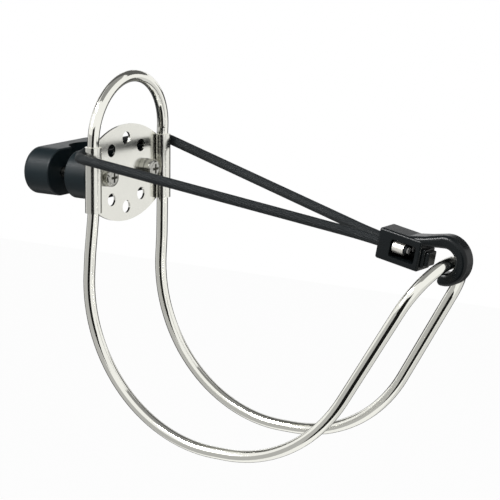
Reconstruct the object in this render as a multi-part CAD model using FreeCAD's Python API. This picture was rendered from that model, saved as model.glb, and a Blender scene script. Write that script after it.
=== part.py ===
"""Rope hanger that clamps to a 25 mm boat rail: a bent wire cradle, a holed plate, a two-part
clamp, and an elastic cord with a hook clip that closes the cradle. Millimetres. +Z is up along
the rail, the cradle reaches towards -Y, and the origin is on the rail's axis at the plate's centre."""
import FreeCAD, Part

import math
import os

from FreeCAD import Vector

# Rail and clamp
RAIL_D = 25.0                 # tube that the clamp grips
SCREW_CIRCLE_R = 18.0         # circle of plate holes; the two clamp screws sit on it
CLAMP_HALF_LENGTH = 31.4      # both clamp halves are rounded bars
CLAMP_HALF_HEIGHT = 12.3
CLAMP_GAP = 10.4              # between the two halves when tight
FRONT_HALF_WALL = 6.1         # front of the rail to the front half's face
REAR_HALF_WALL = 9.6          # back of the rail to the rear half's face
CLAMP_BACK_ROUND = 3.0        # rounded back edge of the rear half
CLAMP_EDGE_ROUND = 0.8        # other moulded edges
SEAT_PAD_END_R = 8.0          # raised pad under the plate, inside the rolled sleeves

# Wire cradle
WIRE_D = 6.0
LEG_HALF_SPACING = 30.1       # at the plate and above it
LEG_SPLAY = 1.3               # each leg stands this much further out below the plate
LEG_BEND_Z = 17.5             # above and below the sleeves, where the wire leans out of the upright
ARCH_LEAN = 3.2               # the top arch leans forward, degrees
LEG_LEAN = 3.4                # the legs lean back below the plate, degrees
LEG_BEND_R = 60.0
ARCH_BASE_RISE = 1.4          # short leg between the upper bend and the arch
SPLAY_END_Z = -38.0           # where the splayed legs turn upright again
CRADLE_START_Z = -48.3        # where the big forward curve starts
CRADLE_BACK_R = 77.4          # curve from the legs to the lowest point
CRADLE_FLAT = 7.3
CRADLE_FRONT_R = 77.0         # curve from the lowest point to the rising front
RISE_ANGLE = 58.7             # slope of the front of the cradle, degrees
FRONT_INWARD_LEAN = 3.5       # the front sides lean towards each other, degrees
FRONT_STRAIGHT = 54.7         # from the big curve to the bow

# Plate
PLATE_T = 1.2
PLATE_APEX_Z = 25.2
PLATE_EDGE_R = 47.4           # curved top and bottom edges
PLATE_SHOULDER = 0.5          # the body's side edge stands this far inside the sleeves
TAB_HALF_HEIGHT = 16.8
SLEEVE_CLEARANCE = 0.05       # rolled tab around the wire
SLEEVE_SEAM = 0.5
SLEEVE_SEAT_CLEARANCE = 0.35  # rolled tab to the front half's face
WIRE_AHEAD_OF_PLATE = 2.6     # wire axis to the plate's back face
HOLE_D = 6.6
HOLE_COUNT = 8

# Fasteners, M5
SCREW_D = 5.0
SCREW_TIP_INSET = 0.6         # the screw's tip inside the nut's outer face
SCREW_HEAD_D = 9.8
SCREW_HEAD_H = 3.5
SCREW_HEAD_ROUND = 1.9
SCREW_TIP_CHAMFER = 0.5
SCREW_HOLE_CLEARANCE = 0.25   # radial, through the clamp halves
RECESS_WIDTH = 1.3            # arms of the cross recess
RECESS_SPAN = 5.2
RECESS_DEPTH = 2.2
FLAT_WASHER_D = 10.2
FLAT_WASHER_T = 1.0
SPRING_WASHER_D = 9.2
SPRING_WASHER_T = 1.3
SPRING_WASHER_SPLIT = 0.8
SPRING_WASHER_SPLIT_TURN = 140.0  # where the split sits round the screw, degrees
WASHER_BORE_CLEARANCE = 0.15  # radial
NUT_ACROSS_FLATS = 8.0
NUT_H = 4.0
NUT_INSET = 0.6               # nut's outer face below the rear half's face
NUT_POCKET_CLEARANCE = 0.1    # each flat
THREAD_CLEARANCE = 0.04       # radial, nut on screw

# Hook clip
HOOK_WIRE_CLEARANCE = 0.68    # inside of the curled hook to the bow's wire
HOOK_BEARING = 33.8           # the wire lies this far below straight ahead in the hook, degrees
CLIP_TILT = 11.3              # the clip and the cords point down by this, degrees
CLIP_LENGTH = 24.0
CLIP_HEIGHT = 14.8            # half of it above the cords' middle line, half below
CLIP_TOP_RISE = 0.75          # thicker top wall
CLIP_WIDTH = 13.0
CLIP_CORNER_R = 1.2
CLIP_CHAMBER_START = 7.2      # rear wall's thickness
CLIP_CHAMBER_LENGTH = 14.0
CLIP_CHAMBER_HEIGHT = 8.8
CLIP_FAR_WALL = 0.65          # the chamber opens on the left side only
HOOK_MIDDLE_R = 9.15          # middle line of the curved hook
HOOK_THICKNESS = 6.4
HOOK_WIDTH = 9.4
NECK_THICKNESS = 4.9          # where the neck meets the clip's body
NECK_WIDTH = 12.2             # the same place
HOOK_CENTRE_FORWARD = 35.5    # from the clip's rear face
HOOK_CENTRE_UP = 1.65         # from the clip's middle line
HOOK_NECK_RISE = 15.5         # the neck climbs from the clip's body by this, degrees
HOOK_TURN = 205.0             # from the neck round to the tip, degrees
HOOK_EDGE_ROUND = 2.2
HOOK_NECK_ROOT = 13.0         # the neck runs this far into the clip's body
TONGUE_STEPS = ((1.7, 9.6, 9.4), (3.5, 7.6, 7.2))  # nose under the neck: reach, width and height
TONGUE_MIDDLE = -0.6          # from the clip's middle line
TONGUE_EDGE_ROUND = 0.7

# Elastic cord
CORD_D = 5.0
CORD_CLEARANCE = 0.2          # to the sleeves, the clamp and the plate
CORD_PAIR_SPACING = 5.3       # between the two ends where they lie side by side
CORD_HOLE_CLEARANCE = 0.2     # radial, through the clip's rear wall
CORD_LEFT_Z = 11.5            # height of the cord where it rounds the left leg
CORD_RIGHT_Z = 13.2           # the same at the right leg
CORD_END_RUN_R = 40.0         # gentle bend where each run turns into the clip
CORD_WRAP_SLACK = 0.92        # the wrap's arcs are this share of the leg's circle, between short flats
CORD_IN_CLIP_UP = 0.4         # cord ends and ferrule above the clip's middle line
CORD_MOUTH_RUN = 4.0          # the two sides meet this far behind the clip
FERRULE_WALL = 0.5
FERRULE_CLEARANCE = 0.1       # radial, on the cord
FERRULE_LENGTH = 6.0
FERRULE_START = 8.0           # from the clip's rear face
CORD_END_FORWARD = 15.4       # cut ends, from the clip's rear face
CORE_D = 3.2                  # rubber core in the braid
CORE_PROUD = 0.5

MARGIN = 1.0                  # cutting shapes run this far past the faces they cut

# Values that follow
RAIL_R = RAIL_D / 2
WIRE_R = WIRE_D / 2
CORD_R = CORD_D / 2
SLEEVE_BORE_R = WIRE_R + SLEEVE_CLEARANCE
SLEEVE_R = SLEEVE_BORE_R + PLATE_T
FRONT_FACE_Y = -(RAIL_R + FRONT_HALF_WALL)
REAR_FACE_Y = RAIL_R + REAR_HALF_WALL
LEG_Y = FRONT_FACE_Y - SLEEVE_SEAT_CLEARANCE - SLEEVE_R  # wire axis at the plate
PLATE_BACK_Y = LEG_Y + WIRE_AHEAD_OF_PLATE
PLATE_BODY_HALF_WIDTH = LEG_HALF_SPACING - SLEEVE_BORE_R - PLATE_SHOULDER
PLATE_FRONT_Y = PLATE_BACK_Y - PLATE_T
SPRING_WASHER_Y = PLATE_FRONT_Y - FLAT_WASHER_T
HEAD_SEAT_Y = SPRING_WASHER_Y - SPRING_WASHER_T
NUT_Y = REAR_FACE_Y - NUT_INSET - NUT_H
SCREW_LENGTH = NUT_Y + NUT_H - SCREW_TIP_INSET - HEAD_SEAT_Y
SIDES = (("left", -1), ("right", 1))
X_AXIS, Y_AXIS, Z_AXIS = Vector(1, 0, 0), Vector(0, 1, 0), Vector(0, 0, 1)


def cylinder(radius, start, end):
    """A round bar between two points."""
    return Part.makeCylinder(radius, (end - start).Length, start, end - start)


def box(x, y, z):
    """A box between the low and high values given for each axis."""
    return Part.makeBox(x[1] - x[0], y[1] - y[0], z[1] - z[0], Vector(x[0], y[0], z[0]))


def obround(half_length, end_r, y_low, y_high):
    """A bar along X with round ends, seen along Y, between two Y values."""
    x = half_length - end_r
    a, b = Vector(-x, y_low, -end_r), Vector(x, y_low, -end_r)
    c, d = Vector(x, y_low, end_r), Vector(-x, y_low, end_r)
    right, left = Vector(half_length, y_low, 0), Vector(-half_length, y_low, 0)
    edges = [Part.LineSegment(a, b).toShape(), Part.Arc(b, right, c).toShape(),
             Part.LineSegment(c, d).toShape(), Part.Arc(d, left, a).toShape()]
    return Part.Face(Part.Wire(edges)).extrude(Vector(0, y_high - y_low, 0))


def rod(path, radius):
    """One round solid along tangent runs: each line is (start, end), each arc (start, middle, end)."""
    edges = [(Part.LineSegment(*run) if len(run) == 2 else Part.Arc(*run)).toShape() for run in path]
    first = edges[0]
    section = Part.Wire(Part.Circle(path[0][0], first.tangentAt(first.FirstParameter), radius).toShape())
    return Part.Wire(edges).makePipeShell([section], True, False)


def rounded_route(points, radii):
    """Straight runs between points, with a tangent arc of the given radius at each inner point."""
    runs, start = [], points[0]
    for before, corner, after, radius in zip(points, points[1:], points[2:], radii):
        u, v = (corner - before).normalize(), (after - corner).normalize()
        turn = u.getAngle(v)
        reach = radius * math.tan(turn / 2)
        arc_start, arc_end = corner - u * reach, corner + v * reach
        inward = (v - u).normalize()
        middle = corner + inward * (radius / math.cos(turn / 2) - radius)
        runs += [(start, arc_start), (arc_start, middle, arc_end)]
        start = arc_end
    return runs + [(start, points[-1])]


def leg_route():
    """Right half of the wire: from the arch's top down the leg, round the cradle and up to the bow."""
    x = LEG_HALF_SPACING
    lean_up, lean_down = math.radians(ARCH_LEAN), math.radians(LEG_LEAN)
    # The arch is a half circle in a plane that leans forward from the upper bend
    arch_up = Vector(0, -math.sin(lean_up), math.cos(lean_up))
    upper_bend, lower_bend = Vector(x, LEG_Y, LEG_BEND_Z), Vector(x, LEG_Y, -LEG_BEND_Z)
    base = upper_bend + arch_up * ARCH_BASE_RISE * 2
    arch_centre = Vector(0, base.y, base.z)
    shoulder = arch_centre + (X_AXIS + arch_up).normalize() * x
    splay_end, foot = [Vector(x + LEG_SPLAY, LEG_Y - (z + LEG_BEND_Z) * math.tan(lean_down), z)
                       for z in (SPLAY_END_Z, CRADLE_START_Z)]
    upper_r = ARCH_BASE_RISE / math.tan(lean_up / 2)
    leg = rounded_route([base, upper_bend, lower_bend, splay_end, foot], [upper_r, LEG_BEND_R, LEG_BEND_R])
    # The big curve: in the leg's own plane down to its lowest point, then in a plane that leans inward
    centre = foot + Vector(0, -math.cos(lean_down), -math.sin(lean_down)) * CRADLE_BACK_R
    lowest = centre - Z_AXIS * CRADLE_BACK_R
    half = (math.pi / 2 + lean_down) / 2
    back_middle = centre + Vector(0, math.sin(half), -math.cos(half)) * CRADLE_BACK_R
    flat_end = lowest - Y_AXIS * CRADLE_FLAT
    inward, rise = math.radians(FRONT_INWARD_LEAN), math.radians(RISE_ANGLE)
    up = Vector(-math.sin(inward), 0, math.cos(inward))

    def front(angle):
        return flat_end + (up * (1 - math.cos(angle)) - Y_AXIS * math.sin(angle)) * CRADLE_FRONT_R

    along = up * math.sin(rise) - Y_AXIS * math.cos(rise)
    bow_start = front(rise) + along * FRONT_STRAIGHT
    # The bow closes on the X = 0 plane, tangent to both front sides
    toe_in = math.asin(-along.x)
    bow_r = bow_start.x / math.cos(toe_in)
    forward = Vector(0, along.y, along.z).normalize()
    bow_centre = Vector(0, bow_start.y, bow_start.z) - forward * (bow_r * math.sin(toe_in))
    halfway = (math.pi / 2 + toe_in) / 2
    bow_middle = bow_centre + (X_AXIS * math.sin(halfway) + forward * math.cos(halfway)) * bow_r
    return ([(arch_centre + arch_up * x, shoulder, base)] + leg +
            [(foot, back_middle, lowest), (lowest, flat_end), (flat_end, front(rise / 2), front(rise)),
             (front(rise), bow_start), (bow_start, bow_middle, bow_centre + forward * bow_r)])


def wire_frame():
    half = rod(leg_route(), WIRE_R)
    return half.fuse(half.mirror(Vector(0, 0, 0), X_AXIS)).removeSplitter()


def plate_outline():
    """The plate's flat body, before its tabs and holes."""
    w = PLATE_BODY_HALF_WIDTH
    depth = Vector(0, PLATE_T, 0)
    top = Part.makeCylinder(PLATE_EDGE_R, PLATE_T,
                            Vector(0, PLATE_FRONT_Y, PLATE_APEX_Z - PLATE_EDGE_R), depth)
    bottom = Part.makeCylinder(PLATE_EDGE_R, PLATE_T,
                               Vector(0, PLATE_FRONT_Y, PLATE_EDGE_R - PLATE_APEX_Z), depth)
    slab = box((-w, w), (PLATE_FRONT_Y, PLATE_BACK_Y), (-PLATE_APEX_Z, PLATE_APEX_Z))
    return slab.common(top).common(bottom)


def mounting_plate():
    plate = plate_outline()
    for side in (-1, 1):
        x = side * LEG_HALF_SPACING
        low, high = Vector(x, LEG_Y, -TAB_HALF_HEIGHT), Vector(x, LEG_Y, TAB_HALF_HEIGHT)
        inner = sorted((side * (PLATE_BODY_HALF_WIDTH - MARGIN), x - side * SLEEVE_BORE_R))
        tab = box(inner, (PLATE_FRONT_Y, PLATE_BACK_Y), (-TAB_HALF_HEIGHT, TAB_HALF_HEIGHT))
        plate = plate.fuse(tab).fuse(cylinder(SLEEVE_R, low, high)).cut(cylinder(SLEEVE_BORE_R, low, high))
        seam = sorted((x - side * (SLEEVE_R + MARGIN), x - side * (SLEEVE_BORE_R - MARGIN)))
        plate = plate.cut(box(seam, (PLATE_FRONT_Y - SLEEVE_SEAM, PLATE_FRONT_Y),
                              (-TAB_HALF_HEIGHT - MARGIN, TAB_HALF_HEIGHT + MARGIN)))
    for i in range(HOLE_COUNT):
        angle = 2 * math.pi * i / HOLE_COUNT
        centre = Vector(math.cos(angle), 0, math.sin(angle)) * SCREW_CIRCLE_R
        plate = plate.cut(cylinder(HOLE_D / 2, centre + Y_AXIS * (PLATE_FRONT_Y - MARGIN),
                                   centre + Y_AXIS * (PLATE_BACK_Y + MARGIN)))
    return plate.removeSplitter()


def face_edges(shape, y):
    """The edges that lie in the plane Y = y."""
    return [e for e in shape.Edges if abs(e.BoundBox.YMin - y) < 1e-4 and abs(e.BoundBox.YMax - y) < 1e-4]


def clamp_block(inner_y, outer_y, outer_round):
    """A clamp half without its screw holes: an obround block with the rail's groove."""
    low, high = sorted((inner_y, outer_y))
    block = obround(CLAMP_HALF_LENGTH, CLAMP_HALF_HEIGHT, low, high)
    block = block.makeFillet(outer_round, face_edges(block, outer_y))
    block = block.makeFillet(CLAMP_EDGE_ROUND, face_edges(block, inner_y))
    return block.cut(cylinder(RAIL_R, Z_AXIS * -2 * CLAMP_HALF_HEIGHT, Z_AXIS * 2 * CLAMP_HALF_HEIGHT))


def screw_holes(shape):
    for side in (-1, 1):
        at = X_AXIS * (side * SCREW_CIRCLE_R)
        shape = shape.cut(cylinder(SCREW_D / 2 + SCREW_HOLE_CLEARANCE,
                                   at + Y_AXIS * (PLATE_BACK_Y - MARGIN),
                                   at + Y_AXIS * (REAR_FACE_Y + MARGIN)))
    return shape


def front_clamp_half():
    block = clamp_block(-CLAMP_GAP / 2, FRONT_FACE_Y, CLAMP_EDGE_ROUND)
    pad = obround(SCREW_CIRCLE_R + SEAT_PAD_END_R, SEAT_PAD_END_R, PLATE_BACK_Y, FRONT_FACE_Y + MARGIN)
    return screw_holes(block.fuse(pad)).removeSplitter()


def hexagon(across_flats, y_low, y_high, at_x):
    """A hexagonal bar along Y."""
    r = across_flats / math.sqrt(3)
    points = [Vector(at_x + r * math.cos(math.pi * i / 3), y_low, r * math.sin(math.pi * i / 3))
              for i in range(7)]
    return Part.Face(Part.makePolygon(points)).extrude(Vector(0, y_high - y_low, 0))


def rear_clamp_half():
    block = screw_holes(clamp_block(CLAMP_GAP / 2, REAR_FACE_Y, CLAMP_BACK_ROUND))
    for side in (-1, 1):
        block = block.cut(hexagon(NUT_ACROSS_FLATS + 2 * NUT_POCKET_CLEARANCE, NUT_Y, REAR_FACE_Y + MARGIN,
                                  side * SCREW_CIRCLE_R))
    return block


def clamp_screw(side):
    x = X_AXIS * (side * SCREW_CIRCLE_R)
    shank = cylinder(SCREW_D / 2, x + Y_AXIS * HEAD_SEAT_Y, x + Y_AXIS * (HEAD_SEAT_Y + SCREW_LENGTH))
    shank = shank.makeChamfer(SCREW_TIP_CHAMFER, face_edges(shank, HEAD_SEAT_Y + SCREW_LENGTH))
    top = HEAD_SEAT_Y - SCREW_HEAD_H
    head = cylinder(SCREW_HEAD_D / 2, x + Y_AXIS * top, x + Y_AXIS * HEAD_SEAT_Y)
    head = head.makeFillet(SCREW_HEAD_ROUND, face_edges(head, top))
    for arm in ((RECESS_SPAN, RECESS_WIDTH), (RECESS_WIDTH, RECESS_SPAN)):
        head = head.cut(box((x.x - arm[0] / 2, x.x + arm[0] / 2), (top - MARGIN, top + RECESS_DEPTH),
                            (-arm[1] / 2, arm[1] / 2)))
    return shank.fuse(head).removeSplitter()


def washer(side, outer_d, y_front, thickness):
    x = X_AXIS * (side * SCREW_CIRCLE_R)
    a, b = x + Y_AXIS * y_front, x + Y_AXIS * (y_front + thickness)
    return cylinder(outer_d / 2, a, b).cut(cylinder(SCREW_D / 2 + WASHER_BORE_CLEARANCE, a, b))


def flat_washer(side):
    return washer(side, FLAT_WASHER_D, SPRING_WASHER_Y, FLAT_WASHER_T)


def spring_washer(side):
    ring = washer(side, SPRING_WASHER_D, HEAD_SEAT_Y, SPRING_WASHER_T)
    x = side * SCREW_CIRCLE_R
    split = box((x - SPRING_WASHER_SPLIT / 2, x + SPRING_WASHER_SPLIT / 2),
                (HEAD_SEAT_Y - MARGIN, SPRING_WASHER_Y + MARGIN), (0, SPRING_WASHER_D))
    split.rotate(Vector(x, 0, 0), Y_AXIS, SPRING_WASHER_SPLIT_TURN)
    return ring.cut(split)


def captive_nut(side):
    nut = hexagon(NUT_ACROSS_FLATS, NUT_Y, NUT_Y + NUT_H, side * SCREW_CIRCLE_R)
    x = X_AXIS * (side * SCREW_CIRCLE_R)
    return nut.cut(cylinder(SCREW_D / 2 + THREAD_CLEARANCE, x + Y_AXIS * (NUT_Y - MARGIN),
                            x + Y_AXIS * REAR_FACE_Y))


def place_on_clip(shape):
    """Moves a shape drawn level, with the clip's rear face at the origin, to its tilted place."""
    shape.rotate(Vector(0, 0, 0), X_AXIS, CLIP_TILT)
    shape.translate(clip_point(0, 0, 0))
    return shape


def clip_point(x, forward, up):
    """A point given in the clip's own directions."""
    tilt, bearing = math.radians(CLIP_TILT), math.radians(HOOK_BEARING)
    forward, up = forward - HOOK_CENTRE_FORWARD, up - HOOK_CENTRE_UP
    play = HOOK_MIDDLE_R - HOOK_THICKNESS / 2 - WIRE_R - HOOK_WIRE_CLEARANCE
    bow = leg_route()[-1][-1]
    hook_centre = bow + Vector(0, math.cos(bearing), math.sin(bearing)) * play
    return hook_centre + Vector(x, -forward * math.cos(tilt) - up * math.sin(tilt),
                                -forward * math.sin(tilt) + up * math.cos(tilt))


def cord_slot(extra, start, end):
    """The side-by-side space of both cord ends, wider than them by extra all round."""
    r = CORD_R + extra
    half = CORD_PAIR_SPACING / 2
    slot = box((-half, half), (-end, -start), (-r, r))
    for side in (-1, 1):
        slot = slot.fuse(cylinder(r, Vector(side * half, -start, 0), Vector(side * half, -end, 0)))
    slot.translate(Z_AXIS * CORD_IN_CLIP_UP)
    return slot.removeSplitter()


def hook_section(middle, outward, width, thickness):
    """A rectangle across the hook's arm."""
    return Part.makePolygon([middle + X_AXIS * (a * width / 2) + outward * (b * thickness / 2)
                             for a, b in ((-1, -1), (1, -1), (1, 1), (-1, 1), (-1, -1))])


def hook_arm():
    """The tapered neck and the curved hook with rounded edges, drawn level in the clip's directions."""
    rise = math.radians(HOOK_NECK_RISE)
    centre = Vector(0, -HOOK_CENTRE_FORWARD, HOOK_CENTRE_UP)
    outward = Vector(0, math.sin(rise), math.cos(rise))
    backward = Vector(0, math.cos(rise), -math.sin(rise))
    top = centre + outward * HOOK_MIDDLE_R
    section = hook_section(top, outward, HOOK_WIDTH, HOOK_THICKNESS)
    to_body = (HOOK_CENTRE_FORWARD - CLIP_LENGTH) / math.cos(rise) - HOOK_MIDDLE_R * math.tan(rise)
    root = top + backward * (to_body + HOOK_NECK_ROOT)
    neck = Part.makeLoft([section] + [hook_section(place, outward, NECK_WIDTH, NECK_THICKNESS)
                                      for place in (top + backward * to_body, root)], True, True)
    arm = neck.fuse(Part.Face(section).revolve(centre, X_AXIS, HOOK_TURN)).removeSplitter()
    # Its long edges and the tip's edges; those inside the clip's body stay sharp
    edges = [e for e in arm.Edges if e.BoundBox.YMin < root.y - MARGIN
             and (e.BoundBox.XLength < HOOK_WIDTH / 2 or e.BoundBox.ZMax < centre.z)]
    return arm.makeFillet(HOOK_EDGE_ROUND, edges)


def clip_body():
    """The clip's block, drawn level with the rear face at the origin."""
    w, h = CLIP_WIDTH / 2, CLIP_HEIGHT / 2
    body = box((-w, w), (-CLIP_LENGTH, 0), (-h, h + CLIP_TOP_RISE))
    return body.makeFillet(CLIP_CORNER_R, body.Edges)


def hook_clip():
    w = CLIP_WIDTH / 2
    start, end = CLIP_CHAMBER_START, CLIP_CHAMBER_START + CLIP_CHAMBER_LENGTH
    window = box((-w - MARGIN, w - CLIP_FAR_WALL), (-end, -start),
                 (-CLIP_CHAMBER_HEIGHT / 2, CLIP_CHAMBER_HEIGHT / 2))
    window = window.makeFillet(CLIP_CORNER_R, [e for e in window.Edges if e.BoundBox.XLength > w])
    clip = clip_body().fuse(hook_arm())
    for reach, width, height in TONGUE_STEPS:
        step = box((-width / 2, width / 2), (-CLIP_LENGTH - reach, -CLIP_LENGTH + MARGIN),
                   (TONGUE_MIDDLE - height / 2, TONGUE_MIDDLE + height / 2))
        clip = clip.fuse(step.makeFillet(TONGUE_EDGE_ROUND, step.Edges))
    clip = clip.cut(window)
    clip = clip.cut(cord_slot(CORD_HOLE_CLEARANCE, -MARGIN, start + MARGIN))
    return place_on_clip(clip.removeSplitter())


def crimp_ferrule():
    sleeve = cord_slot(FERRULE_CLEARANCE + FERRULE_WALL, FERRULE_START, FERRULE_START + FERRULE_LENGTH)
    bore = cord_slot(FERRULE_CLEARANCE, FERRULE_START - MARGIN, FERRULE_START + FERRULE_LENGTH + MARGIN)
    return place_on_clip(sleeve.cut(bore))


def cord_side(side, leg_z):
    """The cord's corners on one side, from its cut end to the middle of its back run."""
    radius = SLEEVE_R + CORD_CLEARANCE + CORD_R
    half = CORD_PAIR_SPACING / 2
    mouth = clip_point(-half, -CORD_MOUTH_RUN, CORD_IN_CLIP_UP)
    # Seen from above, the front run is tangent to the leg's circle
    dx, dy = mouth.x + LEG_HALF_SPACING, mouth.y - LEG_Y
    heading = math.atan2(dy, dx) + math.asin(radius / math.hypot(dx, dy))
    run = Vector(math.cos(heading), math.sin(heading), 0)
    reach = radius * math.tan(X_AXIS.negative().getAngle(run) / 4)
    tangent = Vector(-LEG_HALF_SPACING, LEG_Y, leg_z) + Vector(run.y, -run.x, 0) * radius
    behind = Vector(-LEG_HALF_SPACING - reach, LEG_Y + radius, leg_z)
    # Over the clamp's top the cord follows its rounded end
    over_r = CLAMP_HALF_HEIGHT + CORD_R + CORD_CLEARANCE
    slope = math.atan2(over_r - leg_z, CLAMP_HALF_HEIGHT)
    over_x = CLAMP_HALF_HEIGHT - CLAMP_HALF_LENGTH - over_r * math.tan(slope / 2)
    over = Vector(over_x, LEG_Y + radius, over_r)
    cut_end = clip_point(-half, CORD_END_FORWARD, CORD_IN_CLIP_UP)
    points = [cut_end, mouth, tangent - run * reach, behind, over]
    wrap_r = radius * CORD_WRAP_SLACK
    return [Vector(-side * p.x, p.y, p.z) for p in points], [CORD_END_RUN_R, wrap_r, wrap_r, over_r]


def elastic_cord():
    left, radii = cord_side(-1, CORD_LEFT_Z)
    right, right_radii = cord_side(1, CORD_RIGHT_Z)
    radii = radii + right_radii[::-1]
    route = rounded_route(left + right[::-1], radii)
    cord = rod(route, CORD_R)
    length = sum(Part.Arc(*r).toShape().Length if len(r) == 3 else (r[1] - r[0]).Length for r in route)
    print("cord corners", [[round(c, 2) for c in p] for p in left + right[::-1]])
    print("cord radii", [round(r, 1) for r in radii], "length", round(length, 1))
    print("cord volume / (section x length)", round(cord.Volume / (math.pi * CORD_R ** 2 * length), 4))
    return cord


def rubber_core_ends():
    """The rubber core, standing a little proud of the braid at both cut ends."""
    half = CORD_PAIR_SPACING / 2
    ends = [cylinder(CORE_D / 2, clip_point(side * half, CORD_END_FORWARD, CORD_IN_CLIP_UP),
                     clip_point(side * half, CORD_END_FORWARD + CORE_PROUD, CORD_IN_CLIP_UP))
            for side in (-1, 1)]
    return Part.makeCompound(ends)


def main():
    os.makedirs("parts", exist_ok=True)
    nodes = {"wire_frame": wire_frame(), "mounting_plate": mounting_plate(),
             "front_clamp_half": front_clamp_half(), "rear_clamp_half": rear_clamp_half(),
             "hook_clip": hook_clip(), "crimp_ferrule": crimp_ferrule(),
             "elastic_cord": elastic_cord(), "rubber_core_ends": rubber_core_ends()}
    for side, sign in SIDES:
        nodes[side + "_clamp_screw"] = clamp_screw(sign)
        nodes[side + "_flat_washer"] = flat_washer(sign)
        nodes[side + "_spring_washer"] = spring_washer(sign)
        nodes[side + "_captive_nut"] = captive_nut(sign)
    for name, shape in nodes.items():
        shape.exportStep("parts/" + name + ".step")
        print(name, len(shape.Solids), round(shape.Volume, 1), shape.isValid())


main()
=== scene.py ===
"""Looks of a rail-mounted rope hanger: polished wire cradle and plate, black moulded clamp and clip,
and a black elastic cord. Metres, in the packed model's frame: +Z up the rail, cradle towards -Y."""
import math

import bmesh
import bpy
from bpy.props import FloatProperty, FloatVectorProperty, IntProperty, PointerProperty
from mathutils import Matrix, Vector


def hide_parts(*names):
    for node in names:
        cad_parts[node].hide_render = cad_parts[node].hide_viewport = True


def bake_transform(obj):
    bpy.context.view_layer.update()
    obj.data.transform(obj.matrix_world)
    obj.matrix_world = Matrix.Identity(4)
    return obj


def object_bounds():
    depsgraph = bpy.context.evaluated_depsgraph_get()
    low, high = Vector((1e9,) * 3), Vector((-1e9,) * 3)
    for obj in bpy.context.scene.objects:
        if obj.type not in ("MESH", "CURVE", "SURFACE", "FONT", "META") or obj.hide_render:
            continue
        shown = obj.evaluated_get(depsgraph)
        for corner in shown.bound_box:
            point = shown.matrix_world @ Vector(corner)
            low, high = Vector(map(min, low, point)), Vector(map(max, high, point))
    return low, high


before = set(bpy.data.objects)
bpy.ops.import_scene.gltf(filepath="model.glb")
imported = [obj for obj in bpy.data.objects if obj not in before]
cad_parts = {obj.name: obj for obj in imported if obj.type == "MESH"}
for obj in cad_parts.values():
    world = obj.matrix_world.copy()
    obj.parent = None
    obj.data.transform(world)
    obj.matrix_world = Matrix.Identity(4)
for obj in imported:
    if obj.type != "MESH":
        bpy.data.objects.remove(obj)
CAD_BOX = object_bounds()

bl_info = {
    "name": "Rope Hanger",
    "version": (1, 0, 0),
    "blender": (4, 5, 0),
    "location": "View3D > Sidebar > Rope Hanger",
    "description": "Finishes, elastic cord and studio for a rail-mounted rope hanger",
    "category": "Object",
}

# The elastic cord's route, from its left cut end in the clip, round both legs and back
CORD_START = [(-0.00265, -0.19128, -0.02143), (-0.00265, -0.17226, -0.01763)]
CORD_WRAP = [(-0.03763, -0.02150, 0.0115), (-0.03345, -0.01625, 0.0115), (-0.02119, -0.01625, 0.0150),
             (0.02019, -0.01625, 0.0150), (0.03345, -0.01625, 0.0132), (0.03763, -0.02150, 0.0132)]
CORD_FINISH = [(0.00265, -0.17226, -0.01763), (0.00265, -0.19128, -0.02143)]
# Cards that only reflections see: name, degrees round from the camera, degrees up, distance, size, shade
CARDS = (
    ("front card", -12, -23, 1.0, (0.84, 1.40), 0.01),
    ("left card", -72, -27, 1.0, (1.70, 1.15), 0.50),
    ("right card", 88, -46, 0.9, (1.20, 0.90), 0.74),
    ("back card", 180, -25, 1.0, (3.20, 1.10), 0.10),
    ("back high card", 180, 44, 1.0, (3.00, 0.80), 0.12),
    ("high card", 0, 90, 1.1, (1.30, 1.30), 0.30),
)
# Lamps: name, degrees round from the camera, degrees up, distance, size, power, seen in reflections
LAMPS = (
    ("top softbox", 0, 65, 1.0, (0.90, 0.90), 9, False),
    ("left softbox", -47, 12, 1.1, (0.60, 0.90), 5, False),
    ("edge strip", -64, 44, 1.0, (0.50, 0.16), 12, True),
    ("side window", -67, 24, 1.0, (0.22, 0.30), 1.2, True),
)
FASTENER_WORDS = ("screw", "washer", "nut")
# Depth of each surface's fine relief
PLATE_GRAIN, FASTENER_GRAIN = 0.000002, 0.000003
CLAMP_GRAIN, CLIP_GRAIN = 0.000012, 0.000004
FERRULE_DENTS, RUBBER_GRAIN = 0.00002, 0.00003
# A wave texture at this scale has about one band for each unit of its vector
ONE_BAND = 0.32
# Lengths just before the cord's split and a little way past it
BEFORE_SPLIT, PAST_SPLIT = 0.002, 0.005
SENSOR_WIDTH = 36.0
FLOOR_SIZE = 8
FLOOR_SHADE = 0.96


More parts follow.
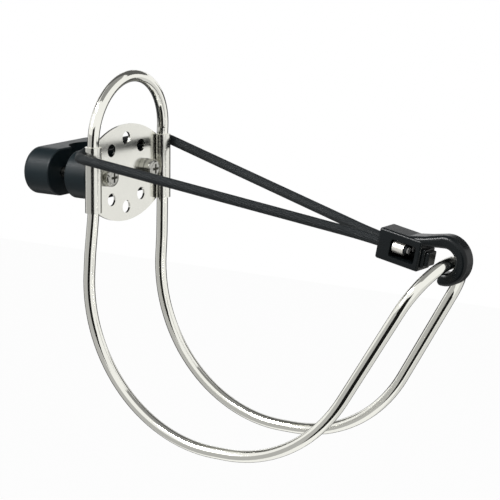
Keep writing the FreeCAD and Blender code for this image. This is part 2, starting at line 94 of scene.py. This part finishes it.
class HangerFinishes(bpy.types.PropertyGroup):
    """Colours and surface finishes of the hanger's own parts."""
    steel: FloatVectorProperty(name="Steel", description="Colour of the polished stainless steel",
                               subtype="COLOR", size=3, min=0, max=1, default=(0.87, 0.865, 0.80))
    wire_roughness: FloatProperty(name="Wire roughness", description="0 is a perfect mirror",
                                  subtype="FACTOR", min=0, max=1, default=0.07)
    plate_roughness: FloatProperty(name="Plate roughness", subtype="FACTOR", min=0, max=1, default=0.17,
                                   description="The sheet is polished less than the wire")
    clamp: FloatVectorProperty(name="Clamp plastic", description="Colour of the moulded clamp halves",
                               subtype="COLOR", size=3, min=0, max=1, default=(0.003, 0.006, 0.0075))
    clamp_roughness: FloatProperty(name="Clamp roughness", description="The clamp has a satin face",
                                   subtype="FACTOR", min=0, max=1, default=0.36)
    clip: FloatVectorProperty(name="Clip plastic", description="Colour of the moulded hook clip",
                              subtype="COLOR", size=3, min=0, max=1, default=(0.003, 0.004, 0.0045))
    clip_roughness: FloatProperty(name="Clip roughness", description="The clip is glossier than the clamp",
                                  subtype="FACTOR", min=0, max=1, default=0.24)
    braid: FloatVectorProperty(name="Braid", description="Colour of the cord's woven cover",
                               subtype="COLOR", size=3, min=0, max=1, default=(0.0035, 0.0048, 0.0055))
    core: FloatVectorProperty(name="Rubber core", description="Colour of the cord's cut rubber core",
                              subtype="COLOR", size=3, min=0, max=1, default=(0.62, 0.62, 0.60))
    ferrule: FloatVectorProperty(name="Ferrule", description="Colour of the crimped metal ferrule",
                                 subtype="COLOR", size=3, min=0, max=1, default=(0.86, 0.84, 0.78))


class HangerCord(bpy.types.PropertyGroup):
    """Sizes of the elastic cord."""
    diameter: FloatProperty(name="Diameter", description="Outside of the braid", unit="LENGTH",
                            min=0.003, max=0.008, default=0.005)
    sides: IntProperty(name="Sides", description="Faces round the cord", min=12, max=48, default=32)
    straight_reach: FloatProperty(name="Straight reach", unit="LENGTH", min=0.01, max=0.06, default=0.030,
                                  description="How far from a bend the cord is straight")
    bend_y: FloatProperty(name="Bend", description="The cord starts to swing in front of this",
                          unit="LENGTH", default=-0.024)
    split_y: FloatProperty(name="Split", description="Between the wrap and the two front runs",
                           unit="LENGTH", default=-0.060)
    grip_y: FloatProperty(name="Grip", description="The clip holds the cord from here",
                          unit="LENGTH", default=-0.168)
    braid_pitch: FloatProperty(name="Braid pitch", description="Length of cord that one strand crosses",
                               unit="LENGTH", min=0.0005, max=0.005, default=0.0016)
    strands: IntProperty(name="Strands", description="Strands round the cord in each direction",
                         min=6, max=24, default=12)


class HangerStudio(bpy.types.PropertyGroup):
    """Camera and lights."""
    azimuth: FloatProperty(name="Azimuth", description="0 looks along +Y, and 90 along -X", subtype="ANGLE",
                           default=math.radians(-56.66))
    elevation: FloatProperty(name="Elevation", description="Height above the horizon", subtype="ANGLE",
                             default=math.radians(11.11))
    roll: FloatProperty(name="Roll", description="Turn about the line of sight", subtype="ANGLE",
                        default=math.radians(0.46))
    distance: FloatProperty(name="Distance", description="Camera to the point that it looks at",
                            unit="LENGTH", min=0.3, default=1.155)
    aim: FloatVectorProperty(name="Aim", description="The point that the camera looks at", size=3,
                             subtype="XYZ", default=(-0.0175, -0.1103, -0.0281))
    lens: FloatProperty(name="Lens", description="Focal length in millimetres", min=20, default=168.5)
    floor_drop: FloatProperty(name="Floor drop", description="Floor below the hanger", unit="LENGTH",
                              min=0, default=0.9)
    floor_white: FloatProperty(name="Floor white", subtype="FACTOR", min=0, max=1, default=0.95,
                               description="Share of the floor that shows no shadow")
    fill: FloatProperty(name="Fill", description="Strength of the light from all round",
                        min=0, default=0.55)


def finishes():
    return bpy.context.scene.hanger_finishes


def cord_sizes():
    return bpy.context.scene.hanger_cord


def studio():
    return bpy.context.scene.hanger_studio


# ---- materials -----------------------------------------------------------------------------------

class Shades:
    """A material and short ways to add nodes to it."""

    def __init__(self, name):
        self.material = bpy.data.materials.new(name)
        self.material.use_nodes = True
        self.nodes, self.links = self.material.node_tree.nodes, self.material.node_tree.links
        self.shader = next(n for n in self.nodes if n.type == "BSDF_PRINCIPLED")
        self.coordinates = self.nodes.new("ShaderNodeTexCoord")

    def set(self, **sockets):
        for name, value in sockets.items():
            socket = self.shader.inputs[name.replace("_", " ").title().replace("Ior", "IOR")]
            socket.default_value = (*value, 1.0) if hasattr(value, "__len__") and len(value) == 3 else value
        return self

    def link(self, output, node, socket):
        self.links.new(output, node.inputs[socket])

    def stretched(self, scale):
        """Object coordinates with their own scale on each axis."""
        mapping = self.nodes.new("ShaderNodeMapping")
        mapping.inputs["Scale"].default_value = scale
        self.link(self.coordinates.outputs["Object"], mapping, "Vector")
        return mapping.outputs["Vector"]

    def noise(self, scale, detail, vector=None):
        node = self.nodes.new("ShaderNodeTexNoise")
        node.inputs["Scale"].default_value = scale
        node.inputs["Detail"].default_value = detail
        self.link(vector or self.coordinates.outputs["Object"], node, "Vector")
        return node.outputs["Fac"]

    def ranged(self, value, low, high):
        """A number between two numbers."""
        node = self.nodes.new("ShaderNodeMapRange")
        node.inputs["To Min"].default_value = low
        node.inputs["To Max"].default_value = high
        self.link(value, node, "Value")
        return node.outputs["Result"]

    def between(self, value, low, high):
        """A colour between two colours."""
        node = self.nodes.new("ShaderNodeMix")
        node.data_type = "RGBA"
        node.inputs["A"].default_value = (*low, 1.0)
        node.inputs["B"].default_value = (*high, 1.0)
        self.link(value, node, "Factor")
        return node.outputs["Result"]

    def bump(self, height, depth):
        """A relief this deep."""
        node = self.nodes.new("ShaderNodeBump")
        node.inputs["Distance"].default_value = depth
        self.link(height, node, "Height")
        self.link(node.outputs["Normal"], self.shader, "Normal")


def times(colour, share):
    """A lighter or darker shade of a colour."""
    return tuple(min(1.0, c * share) for c in colour)


def polished_wire():
    """Mirror-polished stainless wire with faint handling marks."""
    f = finishes()
    s = Shades("polished wire").set(metallic=1.0)
    s.link(s.between(s.noise(60, 3), times(f.steel, 0.95), times(f.steel, 1.03)), s.shader, "Base Color")
    s.link(s.ranged(s.noise(240, 4), f.wire_roughness * 0.7, f.wire_roughness * 1.5), s.shader, "Roughness")
    return s.material


def polished_plate():
    """Pressed stainless sheet with a fine upright polishing grain."""
    f = finishes()
    s = Shades("polished plate").set(metallic=1.0)
    grain = s.noise(1.0, 3, s.stretched((5200, 900, 420)))
    s.link(s.between(s.noise(90, 3), times(f.steel, 0.86), times(f.steel, 0.93)), s.shader, "Base Color")
    s.link(s.ranged(grain, f.plate_roughness * 0.8, f.plate_roughness * 1.25), s.shader, "Roughness")
    s.bump(grain, PLATE_GRAIN)
    return s.material


def turned_fastener():
    """Stainless fasteners, their colour about half as bright as the wire's, and rougher."""
    f = finishes()
    s = Shades("bright fastener").set(metallic=1.0)
    s.link(s.between(s.noise(500, 2), times(f.steel, 0.42), times(f.steel, 0.58)), s.shader, "Base Color")
    s.link(s.ranged(s.noise(900, 3), 0.12, 0.26), s.shader, "Roughness")
    s.bump(s.noise(2600, 2), FASTENER_GRAIN)
    return s.material


def moulded_plastic(name, colour, roughness, grain_depth):
    """Moulded black plastic with a fine spark-eroded grain and faint flow marks."""
    s = Shades(name).set(specular_ior_level=0.2)
    flow = s.noise(1.0, 3, s.stretched((45, 45, 160)))
    s.link(s.between(flow, times(colour, 0.8), times(colour, 1.35)), s.shader, "Base Color")
    s.link(s.ranged(s.noise(300, 4), roughness * 0.85, roughness * 1.2), s.shader, "Roughness")
    s.bump(s.noise(3200, 2), grain_depth)
    return s.material


def crimped_metal():
    """Bright crimped metal with small dents."""
    f = finishes()
    s = Shades("crimped ferrule").set(metallic=0.85)
    s.link(s.between(s.noise(420, 3), times(f.ferrule, 0.9), f.ferrule), s.shader, "Base Color")
    s.link(s.ranged(s.noise(800, 3), 0.26, 0.42), s.shader, "Roughness")
    s.bump(s.noise(900, 3), FERRULE_DENTS)
    return s.material


def cut_rubber():
    """The pale, rough end of the cord's core."""
    f = finishes()
    s = Shades("cut rubber core").set(roughness=0.6)
    s.link(s.between(s.noise(1500, 3), times(f.core, 0.8), times(f.core, 1.1)), s.shader, "Base Color")
    s.bump(s.noise(2200, 3), RUBBER_GRAIN)
    return s.material


def woven_braid():
    """Black braid: two sets of strands that cross, following the cord by its UV map; the weave is a real
    relief and also a painted shade, darker in the gaps and lighter on the raised strands.
    """
    f, c = finishes(), cord_sizes()
    s = Shades("woven braid").set(roughness=0.5, specular_ior_level=0.2)
    s.set(sheen_weight=0.015, sheen_roughness=0.4)
    heights = []
    for lean in (1, -1):
        node = s.nodes.new("ShaderNodeMapping")
        node.inputs["Rotation"].default_value = (0, 0, lean * math.radians(45))
        s.link(s.coordinates.outputs["UV"], node, "Vector")
        wave = s.nodes.new("ShaderNodeTexWave")
        wave.inputs["Scale"].default_value = ONE_BAND * math.sqrt(2)
        wave.inputs["Distortion"].default_value = 0.4
        wave.inputs["Detail Scale"].default_value = 2.0
        s.link(node.outputs["Vector"], wave, "Vector")
        heights.append(wave.outputs["Fac"])
    crossed = s.nodes.new("ShaderNodeMath")
    crossed.operation = "MAXIMUM"
    s.link(heights[0], crossed, 0)
    s.link(heights[1], crossed, 1)
    weave_and_shade = crossed.outputs[0]
    # Painted shade and painted highlight: the braid's colour is darker in the gaps between strands and
    # lighter on the raised strands
    s.link(s.between(weave_and_shade, times(f.braid, 0.35), times(f.braid, 1.6)), s.shader, "Base Color")
    s.bump(weave_and_shade, c.diameter * 0.03)
    return s.material


# ---- meshes --------------------------------------------------------------------------------------

def dress(names, material):
    """Gives CAD nodes their material."""
    for name in names:
        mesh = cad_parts[name].data
        mesh.materials.clear()
        mesh.materials.append(material)


def route_points():
    """The cord's route, with points beside each bend that keep its long runs straight."""
    c = cord_sizes()
    left = beside(CORD_START[1], CORD_WRAP[0], CORD_WRAP[1], c.straight_reach)
    right = beside(CORD_FINISH[0], CORD_WRAP[-1], CORD_WRAP[-2], c.straight_reach)
    return CORD_START + left + CORD_WRAP + right[::-1] + CORD_FINISH


def beside(mouth, bend, after, reach):
    """Points on the run from the clip's mouth to a bend: near the mouth, near the bend and next to it."""
    a, b = Vector(mouth), Vector(bend)
    along = (b - a).normalized()
    last = (Vector(after) - b).length
    return [tuple(a + along * reach), tuple(b - along * reach), tuple(b - along * last)]


def centre_line():
    """Points along the smooth spline through the cord's route."""
    points = route_points()
    curve = bpy.data.curves.new("cord route", "CURVE")
    curve.dimensions = "3D"
    curve.resolution_u = 24
    spline = curve.splines.new("NURBS")
    spline.points.add(len(points) - 1)
    for control, place in zip(spline.points, points):
        control.co = (*place, 1.0)
    spline.order_u = 3
    spline.use_endpoint_u = True
    holder = bpy.data.objects.new("cord route", curve)
    bpy.context.scene.collection.objects.link(holder)
    line = bpy.data.meshes.new_from_object(holder)
    places = [v.co.copy() for v in line.vertices]
    bpy.data.objects.remove(holder)
    bpy.data.meshes.remove(line)
    return places


def tube_rings(places, radius, sides):
    """Circles of points across the line, none twisted against the next, and how far along each is."""
    tangent = (places[1] - places[0]).normalized()
    normal = tangent.orthogonal().normalized()
    rings, distances, travelled = [], [], 0.0
    for i, place in enumerate(places):
        ahead = places[min(i + 1, len(places) - 1)] - places[max(i - 1, 0)]
        turned = tangent.rotation_difference(ahead.normalized())
        tangent, normal = ahead.normalized(), turned @ normal
        side = tangent.cross(normal)
        travelled += (place - places[i - 1]).length if i else 0.0
        distances.append(travelled)
        rings.append([place + (normal * math.cos(a) + side * math.sin(a)) * radius
                      for a in (math.tau * k / sides for k in range(sides))])
    return rings, distances


def tube(name, rings, distances, strands, pitch):
    """A closed round tube through the rings, with a UV map counted in braid strands."""
    mesh = bmesh.new()
    uv = mesh.loops.layers.uv.new("UVMap")
    circles = [[mesh.verts.new(place) for place in ring] for ring in rings]
    sides = len(circles[0])
    for i in range(len(circles) - 1):
        for k in range(sides):
            n = (k + 1) % sides
            face = mesh.faces.new((circles[i][k], circles[i][n], circles[i + 1][n], circles[i + 1][k]))
            face.smooth = True
            corners = ((k, i), (k + 1, i), (k + 1, i + 1), (k, i + 1))
            for loop, (turn, step) in zip(face.loops, corners):
                loop[uv].uv = (turn / sides * strands * math.sqrt(2), distances[step] / pitch)
    for rim in (circles[0][::-1], circles[-1]):
        for edge in mesh.faces.new(rim).edges:
            edge.smooth = False
    made = bpy.data.meshes.new(name)
    bmesh.ops.recalc_face_normals(mesh, faces=mesh.faces)
    mesh.to_mesh(made)
    mesh.free()
    piece = bpy.data.objects.new(name, made)
    bpy.context.scene.collection.objects.link(piece)
    return piece


# ---- operators -----------------------------------------------------------------------------------

class HANGER_OT_steel(bpy.types.Operator):
    """Polish the wire frame, the plate and the fasteners"""
    bl_idname = "hanger.steel"
    bl_label = "Polish Steel"

    def execute(self, context):
        dress(["wire_frame"], polished_wire())
        dress(["mounting_plate"], polished_plate())
        fasteners = [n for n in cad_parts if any(word in n for word in FASTENER_WORDS)]
        dress(fasteners, turned_fastener())
        return {"FINISHED"}


class HANGER_OT_clamp(bpy.types.Operator):
    """Give the clamp halves their moulded plastic"""
    bl_idname = "hanger.clamp"
    bl_label = "Mould Clamp"

    def execute(self, context):
        f = finishes()
        plastic = moulded_plastic("clamp plastic", f.clamp, f.clamp_roughness, CLAMP_GRAIN)
        dress(["front_clamp_half", "rear_clamp_half"], plastic)
        return {"FINISHED"}


class HANGER_OT_clip(bpy.types.Operator):
    """Give the hook clip, its ferrule and the cord's rubber core their finishes"""
    bl_idname = "hanger.clip"
    bl_label = "Mould Hook Clip"

    def execute(self, context):
        f = finishes()
        dress(["hook_clip"], moulded_plastic("clip plastic", f.clip, f.clip_roughness, CLIP_GRAIN))
        dress(["crimp_ferrule"], crimped_metal())
        dress(["rubber_core_ends"], cut_rubber())
        return {"FINISHED"}


class HANGER_OT_cord(bpy.types.Operator):
    """Lay the elastic cord round both legs and into the clip"""
    bl_idname = "hanger.cord"
    bl_label = "Lay Elastic Cord"

    def execute(self, context):
        c = cord_sizes()
        places = centre_line()
        wrapped = [i for i, place in enumerate(places) if place.y > c.split_y]
        first, last = wrapped[0], wrapped[-1]
        rings, distances = tube_rings(places, c.diameter / 2, c.sides)
        run_start, wrap_end = c.split_y - PAST_SPLIT, c.split_y + BEFORE_SPLIT
        pieces = (
            ("cord_left_run", slice(0, first + 1), "cord_loop", "clip", run_start, c.grip_y),
            ("cord_wrap", slice(first, last + 1), "hanger", "cord_loop", c.bend_y, wrap_end),
            ("cord_right_run", slice(last, len(places)), "cord_loop", "clip", run_start, c.grip_y),
        )
        braid = woven_braid()
        for name, part, near, far, start, end in pieces:
            piece = tube(name, rings[part], distances[part], c.strands, c.braid_pitch)
            piece.data.materials.append(braid)
            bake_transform(piece)
            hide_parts("elastic_cord")
        return {"FINISHED"}


class HANGER_OT_studio(bpy.types.Operator):
    """Set up the camera, the lamps, the backdrop and the floor"""
    bl_idname = "hanger.studio"
    bl_label = "Set Up Studio"

    def execute(self, context):
        place_camera(context.scene)
        pale_world(context.scene)
        pale_floor()
        light_studio()
        context.scene.view_settings.view_transform = "Standard"
        return {"FINISHED"}


# ---- studio --------------------------------------------------------------------------------------

def place_camera(scene):
    """A long lens a little above the hanger, at its front left."""
    s = studio()
    data = bpy.data.cameras.new("camera")
    data.lens, data.sensor_width = s.lens, SENSOR_WIDTH
    camera = bpy.data.objects.new("camera", data)
    scene.collection.objects.link(camera)
    camera.matrix_world = facing(0, math.degrees(s.elevation), s.distance) @ Matrix.Rotation(s.roll, 4, "Z")
    scene.camera = camera


def seen_directly(tree):
    """1 for rays that come from the camera, a mirror or glass, and 0 for light that falls on the object."""
    path = tree.nodes.new("ShaderNodeLightPath")
    total = path.outputs["Is Camera Ray"]
    for name in ("Is Glossy Ray", "Is Transmission Ray"):
        node = tree.nodes.new("ShaderNodeMath")
        node.operation = "MAXIMUM"
        tree.links.new(total, node.inputs[0])
        tree.links.new(path.outputs[name], node.inputs[1])
        total = node.outputs[0]
    return total


def pale_world(scene):
    """Plain light from all round that looks white where it is seen directly."""
    world = bpy.data.worlds.new("studio")
    world.use_nodes = True
    scene.world = world
    tree = world.node_tree
    fill, white = tree.nodes["Background"], tree.nodes.new("ShaderNodeBackground")
    fill.inputs["Color"].default_value = (1, 1, 1, 1)
    fill.inputs["Strength"].default_value = studio().fill
    white.inputs["Color"].default_value = (1, 1, 1, 1)
    mix = tree.nodes.new("ShaderNodeMixShader")
    tree.links.new(seen_directly(tree), mix.inputs[0])
    tree.links.new(fill.outputs[0], mix.inputs[1])
    tree.links.new(white.outputs[0], mix.inputs[2])
    tree.links.new(mix.outputs[0], tree.nodes["World Output"].inputs["Surface"])


def pale_floor():
    """A white floor well below the hanger that still takes a soft shadow."""
    bpy.ops.object.select_all(action="DESELECT")
    height = CAD_BOX[0][2] - studio().floor_drop
    bpy.ops.mesh.primitive_plane_add(size=FLOOR_SIZE, location=(0, 0, height))
    floor = bpy.context.object
    floor.name = "floor"
    material = bpy.data.materials.new("floor")
    material.use_nodes = True
    tree = material.node_tree
    tree.nodes.remove(tree.nodes["Principled BSDF"])
    matt, glow = tree.nodes.new("ShaderNodeBsdfDiffuse"), tree.nodes.new("ShaderNodeEmission")
    matt.inputs["Color"].default_value = (FLOOR_SHADE, FLOOR_SHADE, FLOOR_SHADE, 1)
    share = tree.nodes.new("ShaderNodeMath")
    share.operation = "MULTIPLY"
    share.inputs[1].default_value = studio().floor_white
    mix = tree.nodes.new("ShaderNodeMixShader")
    tree.links.new(seen_directly(tree), share.inputs[0])
    tree.links.new(share.outputs[0], mix.inputs[0])
    tree.links.new(matt.outputs[0], mix.inputs[1])
    tree.links.new(glow.outputs[0], mix.inputs[2])
    tree.links.new(mix.outputs[0], tree.nodes["Material Output"].inputs["Surface"])
    floor.data.materials.append(material)


def facing(round_by, up_by, distance):
    """A place round the hanger, turned so that its own Z points away from the middle."""
    s = studio()
    azimuth, elevation = s.azimuth + math.radians(round_by), math.radians(up_by)
    away = Vector((math.sin(azimuth) * math.cos(elevation), -math.cos(azimuth) * math.cos(elevation),
                   math.sin(elevation)))
    return (Matrix.Translation(Vector(s.aim) + away * distance)
            @ away.to_track_quat("Z", "Y").to_matrix().to_4x4())


def lamp(name, round_by, up_by, distance, size, power, reflected):
    """A soft box that faces the hanger."""
    data = bpy.data.lights.new(name, "AREA")
    data.shape, data.size, data.size_y, data.energy = "RECTANGLE", size[0], size[1], power
    item = bpy.data.objects.new(name, data)
    item.visible_glossy = reflected
    item.matrix_world = facing(round_by, up_by, distance)
    bpy.context.scene.collection.objects.link(item)


def card(name, round_by, up_by, distance, size, shade):
    """A grey card that only reflections see; it gives polished steel its dark streaks and grey bands."""
    bpy.ops.object.select_all(action="DESELECT")
    bpy.ops.mesh.primitive_plane_add(size=1)
    item = bpy.context.object
    item.name = name
    item.matrix_world = facing(round_by, up_by, distance) @ Matrix.Diagonal((*size, 1, 1))
    item.visible_camera = item.visible_diffuse = item.visible_shadow = False
    material = bpy.data.materials.new(name)
    material.use_nodes = True
    tree = material.node_tree
    glow = tree.nodes.new("ShaderNodeEmission")
    glow.inputs["Color"].default_value = (shade, shade, shade, 1)
    tree.links.new(glow.outputs[0], tree.nodes["Material Output"].inputs["Surface"])
    item.data.materials.append(material)


def light_studio():
    for settings in LAMPS:
        lamp(*settings)
    for settings in CARDS:
        card(*settings)


# ---- panel and registration ----------------------------------------------------------------------

class HANGER_PT_panel(bpy.types.Panel):
    """Buttons for the hanger's pieces and its studio"""
    bl_idname = "HANGER_PT_panel"
    bl_label = "Rope Hanger"
    bl_space_type = "VIEW_3D"
    bl_region_type = "UI"
    bl_category = "Rope Hanger"

    def draw(self, context):
        for operator in OPERATORS:
            self.layout.operator(operator.bl_idname)
        for group in GROUPS:
            self.layout.label(text=group.__doc__)
            settings = getattr(context.scene, GROUPS[group])
            for name in group.__annotations__:
                self.layout.prop(settings, name)


OPERATORS = (HANGER_OT_steel, HANGER_OT_clamp, HANGER_OT_clip, HANGER_OT_cord, HANGER_OT_studio)
GROUPS = {HangerFinishes: "hanger_finishes", HangerCord: "hanger_cord", HangerStudio: "hanger_studio"}


def register():
    for kind in (*GROUPS, *OPERATORS, HANGER_PT_panel):
        bpy.utils.register_class(kind)
    for group, name in GROUPS.items():
        setattr(bpy.types.Scene, name, PointerProperty(type=group))


def unregister():
    for name in GROUPS.values():
        delattr(bpy.types.Scene, name)
    for kind in (HANGER_PT_panel, *reversed(OPERATORS), *reversed(GROUPS)):
        bpy.utils.unregister_class(kind)


def main():
    register()
    bpy.ops.hanger.steel()
    bpy.ops.hanger.clamp()
    bpy.ops.hanger.clip()
    bpy.ops.hanger.cord()
    bpy.ops.hanger.studio()


if __name__ == "__main__":
    main()
